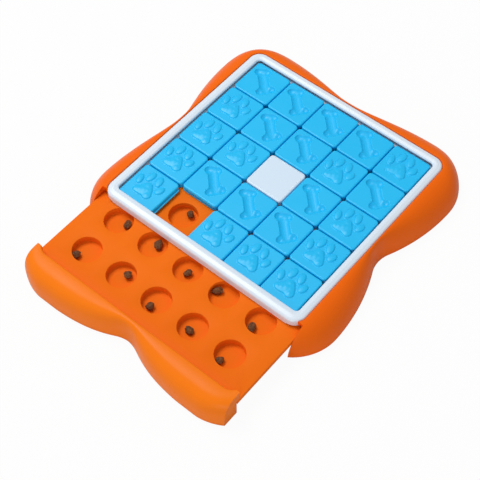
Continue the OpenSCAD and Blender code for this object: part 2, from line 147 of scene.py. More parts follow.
def add_node(tree, kind, inputs=None, **properties):
    """Adds a node with its properties, and its inputs as values or as links from other nodes."""
    node = tree.nodes.new("ShaderNode" + kind)
    for key, value in properties.items():
        setattr(node, key, value)
    for key, value in (inputs or {}).items():
        if isinstance(value, bpy.types.NodeSocket):
            tree.links.new(value, node.inputs[key])
        else:
            node.inputs[key].default_value = value
    return node


def new_material(name):
    material = bpy.data.materials.new(name)
    material.use_nodes = True
    tree = material.node_tree
    tree.nodes.clear()
    place = add_node(tree, "TexCoord").outputs["Object"]
    return material, tree, place


def finish_material(tree, shader):
    add_node(tree, "OutputMaterial", {"Surface": shader.outputs[0]})


def per_mm(size):
    """Texture scale at which one feature is about so many millimetres across."""
    return 1 / (size * MM)


def moulded_plastic(name, light, deep, roughness, gloss_level, grain_mm, grain_height):
    """Injection-moulded plastic: an even colour with faint flow clouds, a fine mould grain,
    and a gloss that varies a little where it has been handled."""
    material, tree, place = new_material(name)
    clouds = add_node(tree, "TexNoise", {"Vector": place, "Scale": per_mm(70), "Detail": 3,
                                         "Roughness": 0.5})
    tone = add_node(tree, "Mix", {0: clouds.outputs["Fac"], 6: srgb(light), 7: srgb(deep)},
                    data_type="RGBA")
    smudges = add_node(tree, "TexNoise", {"Vector": place, "Scale": per_mm(26), "Detail": 4,
                                          "Roughness": 0.6})
    gloss = add_node(tree, "MapRange", {"Value": smudges.outputs["Fac"], "From Min": 0.3,
                                        "From Max": 0.7, "To Min": roughness - 0.04,
                                        "To Max": roughness + 0.06})
    grain = add_node(tree, "TexNoise", {"Vector": place, "Scale": per_mm(grain_mm), "Detail": 2})
    relief = add_node(tree, "Bump", {"Height": grain.outputs["Fac"], "Strength": 1.0,
                                     "Distance": grain_height * MM})
    shader = add_node(tree, "BsdfPrincipled", {
        "Base Color": tone.outputs[2], "Roughness": gloss.outputs["Result"], "IOR": 1.5,
        "Specular IOR Level": gloss_level, "Normal": relief.outputs["Normal"]})
    finish_material(tree, shader)
    return material


# Housing, drawer and handle: one glossy orange ABS off a polished mould, with a soft wide sheen
# The housing's copy is set deeper and redder: painted shade for its upright sides
orange_shell = moulded_plastic("glossy_orange_abs", "F36B10", "EF650C", 0.3, 0.08, 0.9, 0.006)
# The handle's copy is set lighter and yellower: painted light for its lit front
orange_handle_painted_lighter = moulded_plastic("glossy_orange_abs_handle_painted_light", "F67D18", "F27712", 0.3, 0.08, 0.9,
                                0.006)
# The tray's copy keeps the orange of the level, lit deck, between the two
orange_tray = moulded_plastic("satin_orange_abs_tray", "F17318", "EE6D14", 0.42, 0.03, 0.8, 0.008)
# Base plate: the same ABS with a coarse matt grain, as undersides are left
orange_base = moulded_plastic("grained_orange_abs_base", "EC6C10", "E4660C", 0.6, 0.3, 1.2, 0.04)
# Frame and plain tile: white ABS with a cool tint and a soft gloss
white_frame = moulded_plastic("glossy_white_abs", "DFEAF4", "D8E4F1", 0.3, 0.45, 0.9, 0.006)
white_tile = moulded_plastic("satin_white_abs_tile", "D4E6F5", "CFE2F2", 0.4, 0.4, 0.8, 0.008)
# Tiles: bright blue ABS with a soft gloss
blue_tile = moulded_plastic("satin_blue_abs_tile", "12BEF4", "0CB8F0", 0.4, 0.42, 0.8, 0.006)


def rubber_material():
    """Natural rubber pads, matt and finely pitted."""
    material, tree, place = new_material("black_moulded_rubber")
    pits = add_node(tree, "TexNoise", {"Vector": place, "Scale": per_mm(1.1), "Detail": 3})
    relief = add_node(tree, "Bump", {"Height": pits.outputs["Fac"], "Distance": 0.08 * MM})
    dust = add_node(tree, "MapRange", {"Value": pits.outputs["Fac"], "To Min": 0.7, "To Max": 0.9})
    shader = add_node(tree, "BsdfPrincipled", {
        "Base Color": srgb("2A2A2B"), "Roughness": dust.outputs["Result"], "IOR": 1.52,
        "Normal": relief.outputs["Normal"]})
    finish_material(tree, shader)
    return material


def steel_material():
    """Zinc-plated steel screws, faintly mottled."""
    material, tree, place = new_material("zinc_plated_steel")
    mottle = add_node(tree, "TexNoise", {"Vector": place, "Scale": per_mm(1.5), "Detail": 3})
    sheen = add_node(tree, "MapRange", {"Value": mottle.outputs["Fac"], "To Min": 0.25,
                                        "To Max": 0.45})
    shader = add_node(tree, "BsdfPrincipled", {
        "Base Color": srgb("B9BCC0"), "Metallic": 1.0, "Roughness": sheen.outputs["Result"]})
    finish_material(tree, shader)
    return material


def kibble_material():
    """Baked biscuit: dark brown, dry and finely pitted, darker in its pits and lighter on its
    raised crumbs.
    """
    material, tree, place = new_material("dark_baked_kibble")
    crumbs = add_node(tree, "TexNoise", {"Vector": place, "Scale": per_mm(1.6), "Detail": 5,
                                         "Roughness": 0.7})
    tone = add_node(tree, "ValToRGB", {"Fac": crumbs.outputs["Fac"]})
    tone.color_ramp.elements[0].position = 0.35
    tone.color_ramp.elements[0].color = srgb("381C0C")
    tone.color_ramp.elements[1].position = 0.7
    tone.color_ramp.elements[1].color = srgb("8A5424")
    relief = add_node(tree, "Bump", {"Height": crumbs.outputs["Fac"], "Distance": 0.5 * MM})
    shader = add_node(tree, "BsdfPrincipled", {
        "Base Color": tone.outputs["Color"], "Roughness": 0.75, "IOR": 1.45,
        "Normal": relief.outputs["Normal"]})
    finish_material(tree, shader)
    return material


rubber = rubber_material()
steel = steel_material()
kibble_brown = kibble_material()


def backdrop_material():
    """Pale matt paper sweep that reads as white to the eye and keeps the object's shadow."""
    material, tree, place = new_material("white_paper_sweep")
    fibres = add_node(tree, "TexNoise", {"Vector": place, "Scale": per_mm(3), "Detail": 3})
    relief = add_node(tree, "Bump", {"Height": fibres.outputs["Fac"], "Distance": 0.02 * MM})
    paper = add_node(tree, "BsdfPrincipled", {
        "Base Color": srgb("E0E0E0"), "Roughness": 0.95, "Specular IOR Level": 0.0,
        "Normal": relief.outputs["Normal"]})
    path = add_node(tree, "LightPath")
    share = add_node(tree, "Math", {0: path.outputs["Is Camera Ray"], 1: 0.95},
                     operation="MULTIPLY")
    white = add_node(tree, "Emission", {"Color": (1, 1, 1, 1), "Strength": 1.0})
    both = add_node(tree, "MixShader", {0: share.outputs[0], 1: paper.outputs[0],
                                        2: white.outputs[0]})
    finish_material(tree, both)
    return material


bpy.ops.mesh.primitive_plane_add(size=12, location=(0, 0, -0.001))
floor = bpy.context.object
floor.name = "paper_floor"
floor.data.materials.append(backdrop_material())

world = bpy.data.worlds.new("studio_room")
bpy.context.scene.world = world
world.use_nodes = True
sky = world.node_tree
sky.nodes.clear()
ray = add_node(sky, "LightPath")
straight = add_node(sky, "Math", {0: ray.outputs["Is Camera Ray"],
                                  1: ray.outputs["Is Transmission Ray"]}, operation="MAXIMUM")
strength = add_node(sky, "MapRange", {"Value": straight.outputs[0], "To Min": 0.45, "To Max": 1.0})
room = add_node(sky, "Background", {"Color": (1, 1, 1, 1), "Strength": strength.outputs["Result"]})
add_node(sky, "OutputWorld", {"Surface": room.outputs[0]})


# ---------------------------------------------------------------------------------------------
# Modelling helpers

def select_only(*pieces):
    bpy.ops.object.select_all(action="DESELECT")
    for piece in pieces:
        piece.select_set(True)
    bpy.context.view_layer.objects.active = pieces[0]


def edit_all(piece):
    """Opens one piece for editing, with all of it selected."""
    select_only(piece)
    bpy.ops.object.mode_set(mode="EDIT")
    bpy.ops.mesh.select_all(action="SELECT")


def edit_border(piece):
    """Opens a sheet for editing, with its open border selected."""
    select_only(piece)
    bpy.ops.object.mode_set(mode="EDIT")
    bpy.ops.mesh.select_mode(type="EDGE")
    bpy.ops.mesh.select_all(action="DESELECT")
    for edge in bmesh.from_edit_mesh(piece.data).edges:
        edge.select = edge.is_boundary


def face_outwards():
    """Turns the faces of the edited piece outwards, and ends the editing."""
    bpy.ops.mesh.select_all(action="SELECT")
    bpy.ops.mesh.normals_make_consistent(inside=False)
    bpy.ops.object.mode_set(mode="OBJECT")


def loft(name, rings, wrapped=False):
    """A skin through rings of points in millimetres: a circle that is extruded from ring to ring.
    A wrapped loft closes on its first ring, the others are closed by a face at each end."""
    bpy.ops.object.select_all(action="DESELECT")
    bpy.ops.mesh.primitive_circle_add(vertices=len(rings[0]), radius=0.1)
    piece = bpy.context.object
    piece.name = name
    bpy.ops.object.mode_set(mode="EDIT")
    mesh = bmesh.from_edit_mesh(piece.data)
    spoke = mesh.verts.layers.int.new("spoke")
    mesh.verts.ensure_lookup_table()
    for i, vertex in enumerate(mesh.verts):
        vertex[spoke] = i
        vertex.co = Vector(rings[0][i]) * MM
    if not wrapped:
        bpy.ops.mesh.edge_face_add()
        mesh = bmesh.from_edit_mesh(piece.data)
        end = list(mesh.faces)[0]
        end.select = False
        for edge in mesh.edges:
            edge.select = True
    for ring in rings[1:] + ([rings[0]] if wrapped else []):
        bpy.ops.mesh.extrude_edges_move()
        mesh = bmesh.from_edit_mesh(piece.data)
        spoke = mesh.verts.layers.int["spoke"]
        for vertex in mesh.verts:
            if vertex.select:
                vertex.co = Vector(ring[vertex[spoke]]) * MM
    if wrapped:
        bpy.ops.mesh.select_all(action="SELECT")
        bpy.ops.mesh.remove_doubles(threshold=1e-6)
    else:
        bpy.ops.mesh.edge_face_add()
    face_outwards()
    piece.data.attributes.remove(piece.data.attributes["spoke"])
    return piece


def block(x, y, z):
    """A plain block between two corners, for cutting and joining."""
    low, high = Vector((x[0], y[0], z[0])) * MM, Vector((x[1], y[1], z[1])) * MM
    bpy.ops.object.select_all(action="DESELECT")
    bpy.ops.mesh.primitive_cube_add(size=1, location=(low + high) / 2, scale=high - low)
    bpy.ops.object.transform_apply(location=True, rotation=True, scale=True)
    return bpy.context.object


def side_block(side, near, far, y, z):
    """A block on one side, 1 or -1, between two distances from the middle."""
    return block(sorted((side * near, side * far)), y, z)


def peg(x, y, r, z):
    """A round peg between two heights, for cutting and joining."""
    bpy.ops.object.select_all(action="DESELECT")
    bpy.ops.mesh.primitive_cylinder_add(vertices=40, radius=r * MM, depth=(z[1] - z[0]) * MM,
                                        location=(x * MM, y * MM, (z[0] + z[1]) / 2 * MM))
    bpy.ops.object.transform_apply(location=True, rotation=True, scale=True)
    return bpy.context.object


def join(pieces):
    select_only(*pieces)
    bpy.ops.object.join()
    return bpy.context.object


def combine(piece, other, operation):
    """Cuts, joins or intersects a piece with another, which is used up."""
    select_only(piece)
    modifier = piece.modifiers.new("shape", "BOOLEAN")
    modifier.operation = operation
    modifier.solver = "EXACT"
    modifier.object = other
    bpy.ops.object.modifier_apply(modifier=modifier.name)
    bpy.data.objects.remove(other, do_unlink=True)
    return piece


def copy_to_cell(piece, name, column, row):
    """A copy with its own mesh, moved from the centre to a cell counted from 1 to 5."""
    mesh = piece.data.copy()
    mesh.transform(Matrix.Translation(((column - 3) * PITCH * MM, (row - 3) * PITCH * MM, 0)))
    copy = bpy.data.objects.new(name, mesh)
    bpy.context.collection.objects.link(copy)
    return copy


def smooth(piece, degrees):
    select_only(piece)
    bpy.ops.object.shade_smooth_by_angle(angle=math.radians(degrees))


def dress(piece, material, slot, body, *nodes):
    """Gives a piece its finish, its body and the nodes that it stands for."""
    piece.data.materials.clear()
    piece.data.materials.append(material)
    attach(piece, body)
    if nodes:
        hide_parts(*nodes)


# ---------------------------------------------------------------------------------------------
# The wave outline: corner arc, flank arc and waist arc in each eighth

# Insets and heights of the rounding round the foot of the housing and the handle
FOOT_ROUND = ((0.8, 0), (0.25, 0.2))
CORNER_C, CORNER_R = 95, 55
FLANK_CX, FLANK_R, FLANK_ANGLE = -48.37, 198.37, 24.355
WAIST_CX, WAIST_R = 161.5, 32


def on_arc(cx, cy, r, degrees):
    angle = math.radians(degrees)
    return Vector((cx + r * math.cos(angle), cy + r * math.sin(angle)))


def outline(inset, corner_steps=16, flank_steps=14, waist_steps=8):
    """The housing's outline from above, drawn inwards by an inset."""
    eighth = [on_arc(CORNER_C, CORNER_C, CORNER_R - inset, 45 - 45 * i / corner_steps)
              for i in range(corner_steps)]
    eighth += [on_arc(FLANK_CX, CORNER_C, FLANK_R - inset, -FLANK_ANGLE * i / flank_steps)
               for i in range(flank_steps)]
    eighth += [on_arc(WAIST_CX, 0, WAIST_R + inset, 180 - FLANK_ANGLE * (1 - i / waist_steps))
               for i in range(waist_steps + 1)]
    quarter = eighth[:0:-1] + [Vector((p.y, p.x)) for p in eighth[:-1]]
    points = []
    for turn in range(4):
        spin = Matrix.Rotation(math.radians(90 * turn), 2)
        points += [spin @ p for p in quarter]
    return points


def on_rounded_square(point, half, r):
    """The nearest point of a rounded square to a point outside it."""
    core = half - r
    base = Vector((min(max(point.x, -core), core), min(max(point.y, -core), core)))
    return base + (point - base).normalized() * r


def ring(low, mouth, out, share, z):
    """The outline drawn by a share to an opening, which is widened, at one height."""
    half, r = mouth[0] + out, mouth[1] + out
    points = []
    for p in low:
        q = p.lerp(on_rounded_square(p, half, r), share)
        points.append((q.x, q.y, z))
    return points


def shoulder(low, mouth, out, foot_z, top_z, power, levels, first=0):
    """Rings up a shoulder, from its upright foot to its level crown."""
    rings = []
    for i in range(first, levels + 1):
        angle = math.radians(90 * i / levels)
        rise = math.sin(angle) ** (2 / power)
        share = 1 - max(math.cos(angle), 0) ** (2 / power) if i < levels else 1
        rings.append(ring(low, mouth, out, share, foot_z + (top_z - foot_z) * rise))
    return rings


def flat(points, z):
    return [(p.x, p.y, z) for p in points]


def rounded_square(half, r, z, steps=12):
    """Points of a rounded square at one height."""
    core = half - r
    points = []
    for n, (cx, cy) in enumerate(((core, core), (-core, core), (-core, -core), (core, -core))):
        for i in range(steps + 1):
            p = on_arc(cx, cy, r, 90 * n + 90 * i / steps)
            points.append((p.x, p.y, z))
    return points


def rounded_slab(half, r, z):
    return loft("slab", [rounded_square(half, r, z[0]), rounded_square(half, r, z[1])])


# ---------------------------------------------------------------------------------------------
# Housing: the wave-edged shell, its front opening and the ribs and bosses inside it

LOBE_Y = 89
SIDE_BOSS_X = 135.9
EAR_X, EAR_Y = 130.8, 76.4
RIM_Z, RIM_OUT = 26.4, 2
RIB_TOP = 31
SHELL_IN = 0.3
SHOULDER_POWER = 1.85
# Round from the shoulder into the opening: how far outside it, and how far below the shoulder
MOUTH_ROUND = ((0.6, 0), (0.2, 0.16), (0, 0.6))
BASE_SCREW_PLACES = [(s * SIDE_BOSS_X, t * LOBE_Y) for s in (1, -1) for t in (1, -1)]
BASE_SCREW_PLACES += [(LOBE_Y, SIDE_BOSS_X), (-LOBE_Y, SIDE_BOSS_X)]
TRACK_SCREW_PLACES = [(s * EAR_X, t * EAR_Y) for s in (1, -1) for t in (1, -1)]
TRACK_SCREW_PLACES += [(EAR_Y, EAR_X), (-EAR_Y, EAR_X)]


def grow_inside(shell, piece):
    """Joins a rib or boss to the shell, trimmed to the middle of the shell's wall."""
    middle = shoulder(outline(WALL / 2), FRAME_MOUTH, 1, UNDERSIDE, SHOULDER_Z - WALL / 2,
                      SHOULDER_POWER, 10)
    combine(piece, loft("space", middle[:-1]), "INTERSECT")
    combine(shell, piece, "UNION")


def make_housing():
    outer, inner = outline(SHELL_IN), outline(WALL + SHELL_IN)
    rings = [flat(outline(SHELL_IN + inset), UNDERSIDE + up) for inset, up in FOOT_ROUND]
    rings += shoulder(outer, FRAME_MOUTH, MOUTH_ROUND[0][0], UNDERSIDE, SHOULDER_Z,
                      SHOULDER_POWER, 22, first=1)
    rings += [ring(outer, FRAME_MOUTH, out, 1, SHOULDER_Z - down) for out, down in MOUTH_ROUND[1:]]
    rings += [ring(outer, FRAME_MOUTH, out, 1, RIM_Z) for out in (0, RIM_OUT)]
    rings += reversed(shoulder(inner, FRAME_MOUTH, RIM_OUT, UNDERSIDE, SHOULDER_Z - WALL,
                               SHOULDER_POWER, 8))
    shell = loft("orange_housing", rings, wrapped=True)

    # Walls beside the bay, and bosses for the screws
    ribs = [side_block(side, BAY_HALF, BAY_HALF + 2, (-BODY_HALF, -100), (CLEAR_LOW, RIB_TOP))
            for side in (1, -1)]
    ribs += [peg(x, y, BOSS_R, (PAD_TOP, RIB_TOP)) for x, y in BASE_SCREW_PLACES]
    ribs += [peg(x, y, BOSS_R, (TRACK_TOP, RIB_TOP)) for x, y in TRACK_SCREW_PLACES]
    grow_inside(shell, join(ribs))
    # Walls that close the shell's cut ends beside the bay and above it
    for near, far, foot in ((BAY_HALF, BODY_HALF - 4, 1),
                            (FRAME_FIT + 0.8, BAY_HALF + 1, TONGUE_Z)):
        for side in (1, -1):
            grow_inside(shell, side_block(side, near, far, (BAY_FRONT - 1, BAY_FRONT + 2),
                                          (foot, SHOULDER_Z - 1)))
    combine(shell, block((-BAY_HALF, BAY_HALF), (CLEAR_FRONT, BAY_FRONT), (CLEAR_LOW, CLEAR_TOP)),
            "DIFFERENCE")
    smooth(shell, 28)
    dress(shell, orange_shell, "orange_shell", "base", "housing")


make_housing()


# ---------------------------------------------------------------------------------------------
# Handle: the drawer's front, which carries the housing's front lobes

LUG_PLACES = [(x * PITCH, -116.8) for x in (-1.5, -0.5, 0.5, 1.5)]
LUG_LOW, LUG_TOP, LUG_ROOT = 11.8, 14, 1.1
PILOT_R = 1.6
HANDLE_POWER = 3.3
# Round of the handle's inner edge: how far it goes in and down
CREST_IN, CREST_DROP = 2, 2.2
# Fullness between the lobes: how far it stands out, its place and its spread
BULGE, BULGE_X, BULGE_SPREAD = 3.2, 25, 45
# Stepped hollow behind each lobe: span in x, rear end, and each step's roof and inset
HOLLOW_NEAR, HOLLOW_FAR, HOLLOW_BACK = 19.2, 123.3, -125
HOLLOW_STEPS = ((13.28, 3.2), (22.58, 5.9), (27.89, 10.0))


def at_drawer(piece):
    """Moves a piece modelled with the drawer shut to where the drawer is drawn."""
    piece.data.transform(Matrix.Translation((0, DRAWER_OUT * MM, 0)))
    return piece


def handle_front():
    """The front part of the outline, fuller between its lobes but no further out than they are."""
    points = []
    for p in outline(0):
        if p.y < -CORNER_C - 0.01:
            bulge = BULGE * math.exp(-((abs(p.x) - BULGE_X) / BULGE_SPREAD) ** 2)
            points.append(p - Vector((0, min(bulge, p.y + BODY_HALF - 0.01))))
    return points


def make_handle():
    low = handle_front()
    rings = [flat([p - p.normalized() * inset for p in low], UNDERSIDE + up)
             for inset, up in FOOT_ROUND]
    rings += shoulder(low, HANDLE_MOUTH, CREST_IN, UNDERSIDE, CREST_Z, HANDLE_POWER, 30, first=1)
    for i in range(1, 7):
        angle = math.radians(90 * i / 6)
        rings.append(ring(low, HANDLE_MOUTH, CREST_IN * (1 - math.sin(angle)), 1,
                          CREST_Z - CREST_DROP * (1 - math.cos(angle))))
    rings.append(ring(low, HANDLE_MOUTH, -1, 1, CREST_Z - CREST_DROP))
    handle = loft("orange_drawer_handle", rings)

    space = block((-DRAWER_HALF, DRAWER_HALF), (CLEAR_FRONT, HORN_Y), (CLEAR_LOW, CLEAR_TOP))
    combine(space, rounded_slab(*HANDLE_MOUTH, (CLEAR_LOW - 1, CLEAR_TOP + 1)), "DIFFERENCE")
    combine(space, block((-130, 130), (-HANDLE_IN, -100), (CLEAR_LOW - 1, DECK_Z)), "DIFFERENCE")
    combine(handle, space, "INTERSECT")
    for top_z, inset in HOLLOW_STEPS:
        step = outline(inset)
        pocket = loft("pocket", [flat(step, CLEAR_LOW - 1), flat(step, top_z)])
        rows = join([side_block(side, HOLLOW_NEAR, HOLLOW_FAR, (CLEAR_FRONT, HOLLOW_BACK),
                                (CLEAR_LOW - 2, CLEAR_TOP + 1)) for side in (1, -1)])
        combine(handle, combine(pocket, rows, "INTERSECT"), "DIFFERENCE")
    for x, y in LUG_PLACES:
        lug = block((x - BOSS_R, x + BOSS_R), (-HANDLE_IN - LUG_ROOT, y + BOSS_R),
                    (LUG_LOW, LUG_TOP))
        combine(lug, peg(x, y, PILOT_R, (LUG_LOW - 1.8, LUG_TOP + 2)), "DIFFERENCE")
        combine(handle, lug, "UNION")
    smooth(handle, 28)
    dress(at_drawer(handle), orange_handle_painted_lighter, "orange_shell", "drawer", "drawer_front")


make_handle()


# ---------------------------------------------------------------------------------------------
# White frame round the board

FRAME_BAR = 9.6
FRAME_WALL = 1.5
INNER_CORNER = 4.5
FLANGE = 2
FRONT_FACE_TOP = TILE_TOP - 1.2
# Groove under the inner lip, and how much further the lip reaches in front
GROOVE_WIDE = 4
LIP_Z = 29.8
FRONT_LIP = 2.2
# Width and height of the rounded edges, and the height at which the crown between them starts
INNER_ROUND = (2.2, 2.1)
OUTER_ROUND = (3.2, 3.6)
CROWN_FOOT = 32.7


def frame_profile():
    """Section of the bar, as distance outwards from the board's centre lines and height."""
    inner, outer = FRAME_OUT - FRAME_BAR, FRAME_OUT
    groove = inner + GROOVE_WIDE
    wide, high = INNER_ROUND
    points = [(groove, GROOVE_TOP), (groove, LIP_Z), (inner, LIP_Z)]
    for i in range(9):
        angle = math.radians(90 * i / 8)
        points.append((inner + wide * (1 - math.cos(angle)),
                       CROWN_FOOT - high * (1 - math.sin(angle))))
    start, (wide, high) = inner + wide, OUTER_ROUND
    for i in range(1, 8):
        points.append((start + (outer - wide - start) * i / 8,
                       CROWN_FOOT + (CREST_Z - CROWN_FOOT) * math.sin(math.pi * i / 8)))
    for i in range(9):
        angle = math.radians(90 * i / 8)
        points.append((outer - wide * (1 - math.sin(angle)),
                       CROWN_FOOT - high * (1 - math.cos(angle))))
    points += [(outer, TRACK_TOP + FLANGE), (outer + FLANGE, TRACK_TOP + FLANGE),
               (outer + FLANGE, TRACK_TOP), (outer - FRAME_WALL, TRACK_TOP),
               (outer - FRAME_WALL, TILE_TOP - 1), (groove + FRAME_WALL, TILE_TOP - 1),
               (groove + FRAME_WALL, GROOVE_TOP)]
    return points


def make_frame():
    core = FRAME_OUT - FRAME_CORNER
    spread = (FRAME_CORNER - INNER_CORNER) / FRAME_BAR
    rings = []
    for out, z in frame_profile():
        reach = FRONT_LIP * (FRAME_OUT - out) / FRAME_BAR if z >= LIP_Z else 0
        rings.append([(x, y * (1 - reach / out) if y < 0 else y, z) for x, y, z in
                      rounded_square(out, FRAME_CORNER + spread * (out - FRAME_OUT), z, steps=14)])
    bar = loft("white_top_frame", rings, wrapped=True)
    # The flange ends where the drawer comes out, and a bevelled face closes the bar there
    front = block((-140, 140), (-BODY_HALF, -113), (20, TRACK_TOP + FLANGE + 0.01))
    combine(front, rounded_slab(FRAME_OUT, FRAME_CORNER, (10, CLEAR_TOP + 1)), "DIFFERENCE")
    combine(bar, front, "DIFFERENCE")
    face = block((-core, core), (-FRAME_OUT, -FRAME_OUT + FRAME_WALL), (TRACK_Z, FRONT_FACE_TOP))
    edit_all(face)
    bpy.ops.mesh.bevel(offset=0.35 * MM, segments=3)
    bpy.ops.object.mode_set(mode="OBJECT")
    combine(bar, face, "UNION")
    smooth(bar, 28)
    dress(bar, white_frame, "white_frame", "base", "top_frame")


make_frame()


# ---------------------------------------------------------------------------------------------
# Tiles: one plain, one with a raised paw and one with a sunk bone, copied to their places

TILE_HALF = 21.98
TILE_LOW = 22.3
TILE_CORNER = 3.9
TILE_EDGE = 1.7
EDGE_DROP = 1.5
TILE_CELLS = 104
EDGE_CELLS = 5
TONGUE_REACH, TONGUE_HIGH = 1.8, 1.3
GROOVE_DEPTH = 1.5
CUT_HALF = 24


def smoothstep(t):
    t = min(max(t, 0), 1)
    return t * t * (3 - 2 * t)


def dome(t, power=2):
    """Rises from nothing at 0 to a level crown of one at 1."""
    t = min(max(t, 0), 1)
    return 1 - (1 - t) ** power


def soft_join(a, b, reach):
    """The larger of two depths inside, with a soft fillet where they meet."""
    blend = max(reach - abs(a - b), 0) / reach
    return max(a, b) + blend * blend * reach / 4


# Steep edge of the pads as width and height, then the crowns above it, in millimetres
PAD_EDGE, PAD_WALL = 0.8, 0.85
TOE_CROWN, HEEL_CROWN, HEEL_POWER = 0.8, 1.25, 1.5
# Toe pads as centre, half width, half length and turn, in tile widths and degrees
TOES = ((-0.321, 0.056, 0.083, 0.145, 16), (-0.150, 0.240, 0.090, 0.155, -6),
        (0.085, 0.243, 0.090, 0.155, 14), (0.255, 0.065, 0.088, 0.135, -16))
TOE_HALF = 0.085
# Heel pad as circles: centre and radius, and how softly they join
HEEL = ((-0.025, -0.005, 0.11), (-0.035, -0.12, 0.15), (-0.12, -0.17, 0.12), (-0.2, -0.2, 0.085),
        (0.1, -0.2, 0.11), (0.045, -0.1, 0.11))
HEEL_HALF, HEEL_JOIN = 0.15, 0.05


def paw_height(x, y):
    """Height of the raised paw above the tile, at a place in tile widths."""
    toe = 0
    for cx, cy, wide, long, turn in TOES:
        angle = math.radians(turn)
        dx, dy = x - cx, y - cy
        along = -dx * math.sin(angle) + dy * math.cos(angle)
        across = dx * math.cos(angle) + dy * math.sin(angle)
        toe = max(toe, (1 - math.hypot(across / wide, along / long)) * wide)
    heel = -1
    for cx, cy, r in HEEL:
        heel = soft_join(heel, r - math.hypot(x - cx, y - cy), HEEL_JOIN)
    if toe > heel:
        crown = TOE_CROWN * dome(toe / TOE_HALF)
    else:
        crown = HEEL_CROWN * dome(heel / HEEL_HALF, HEEL_POWER)
    return PAD_WALL * smoothstep(max(toe, heel) * PITCH / PAD_EDGE) + crown


# Sunk bone in millimetres: its depth, the width of its steep edge, that edge's share of the
# depth, and the width of the slope from there to its floor
BONE_DEPTH = 2.9
BONE_EDGE, BONE_EDGE_SHARE = 0.9, 0.18
BONE_SLOPE = 5
# Its shaft as centre, half length and half width, and its knobs as centres, radius and how
# softly they join, in tile widths
SHAFT_AT = (-0.005, 0.05)
SHAFT_LONG, SHAFT_WIDE = 0.27, 0.122
BONE_KNOBS = ((-0.3, 0.225), (-0.125, 0.325), (0.29, -0.035), (0.118, -0.252))
KNOB_R, KNOB_JOIN = 0.1, 0.08


def bone_height(x, y):
    """Depth of the sunk bone below the tile, at a place in tile widths."""
    dx, dy = x - SHAFT_AT[0], y - SHAFT_AT[1]
    along, across = (dx - dy) * math.sqrt(0.5), (dx + dy) * math.sqrt(0.5)
    inside = SHAFT_WIDE - math.hypot(max(abs(along) - SHAFT_LONG, 0), across)
    for cx, cy in BONE_KNOBS:
        inside = soft_join(inside, KNOB_R - math.hypot(x - cx, y - cy), KNOB_JOIN)
    inside *= PITCH
    edge, slope = smoothstep(inside / BONE_EDGE), dome(inside / BONE_SLOPE)
    return -BONE_DEPTH * (BONE_EDGE_SHARE * edge + (1 - BONE_EDGE_SHARE) * slope)


def plain_height(x, y):
    return 0


def edge_place(i):
    """Place of a grid line across the tile, from -1 to 1, and packed where the edge is round."""
    last = TILE_CELLS
    if i > last / 2:
        return -edge_place(last - i)
    if i < EDGE_CELLS:
        return -TILE_HALF + TILE_EDGE * (1 - math.cos(math.pi / 2 * i / EDGE_CELLS))
    core = TILE_HALF - TILE_EDGE
    return -core + 2 * core * (i - EDGE_CELLS) / (last - 2 * EDGE_CELLS)


def to_rounded(x, y):
    """Draws the corner of a square grid in to the tile's round corner."""
    core = TILE_HALF - TILE_CORNER
    a, b = (abs(x) - core) / TILE_CORNER, (abs(y) - core) / TILE_CORNER
    if a <= 0 or b <= 0:
        return x, y, min(TILE_HALF - abs(x), TILE_HALF - abs(y))
    out = max(a, b)
    turn = math.pi / 4 * (b / a if a >= b else 2 - a / b)
    px = core + TILE_CORNER * out * math.cos(turn)
    py = core + TILE_CORNER * out * math.sin(turn)
    return math.copysign(px, x), math.copysign(py, y), TILE_CORNER * (1 - out)


def make_tile(name, height):
    """A tile at the board's centre: its relief, its rounded edge, its sides and their joints."""
    bpy.ops.object.select_all(action="DESELECT")
    bpy.ops.mesh.primitive_grid_add(x_subdivisions=TILE_CELLS, y_subdivisions=TILE_CELLS, size=2)
    tile = bpy.context.object
    tile.name = name
    for vertex in tile.data.vertices:
        i, j = (round((c + 1) / 2 * TILE_CELLS) for c in vertex.co.xy)
        x, y, inside = to_rounded(edge_place(i), edge_place(j))
        drop = TILE_EDGE - min(inside, TILE_EDGE)
        z = TILE_TOP - EDGE_DROP * (1 - math.sqrt(max(1 - (drop / TILE_EDGE) ** 2, 0)))
        vertex.co = Vector((x, y, z + height(x / PITCH, y / PITCH))) * MM
    edit_border(tile)
    down = (TILE_LOW - TILE_TOP + EDGE_DROP) * MM
    bpy.ops.mesh.extrude_region_move(TRANSFORM_OT_translate={"value": (0, 0, down)})
    bpy.ops.mesh.edge_face_add()
    face_outwards()
    # Tongues to the right and behind, grooves to the left and in front
    core, reach, bed = TILE_HALF - TILE_CORNER, TILE_HALF + TONGUE_REACH, GROOVE_DEPTH - TILE_HALF
    tongue_z, groove_z = (TONGUE_Z, TONGUE_Z + TONGUE_HIGH), (TRACK_TOP, GROOVE_TOP)
    tongue = combine(block((0, reach), (-core, core), tongue_z),
                     block((-core, core), (0, reach), tongue_z), "UNION")
    combine(tile, tongue, "UNION")
    groove = combine(block((-CUT_HALF, bed), (-CUT_HALF, CUT_HALF), groove_z),
                     block((-CUT_HALF, CUT_HALF), (-CUT_HALF, bed), groove_z), "UNION")
    combine(tile, groove, "DIFFERENCE")
    smooth(tile, 35)
    return tile


def make_tiles():
    masters = {"paw": make_tile("paw", paw_height), "bone": make_tile("bone", bone_height),
               "plain": make_tile("plain", plain_height)}
    for node in sorted(n for n in frame["nodes"] if "_tile_" in n):
        kind, cell = node.split("_tile_")
        piece = copy_to_cell(masters[kind], "moulded_" + node, int(cell[3]), int(cell[1]))
        body = body_of(frame["nodes"][node])[0]
        if kind == "plain":
            dress(piece, white_tile, "white_tile", body, node)
        else:
            dress(piece, blue_tile, "blue_tile", body, node)
    for master in masters.values():
        bpy.data.objects.remove(master, do_unlink=True)


make_tiles()


# ---------------------------------------------------------------------------------------------
# Drawer tray: a deck with 25 moulded cups, its skirt and what hangs under it

CUP_R = 15
CUP_SPOKES = 64
CUP_FLOOR = 13.6
CUP_FILLET = 1.3
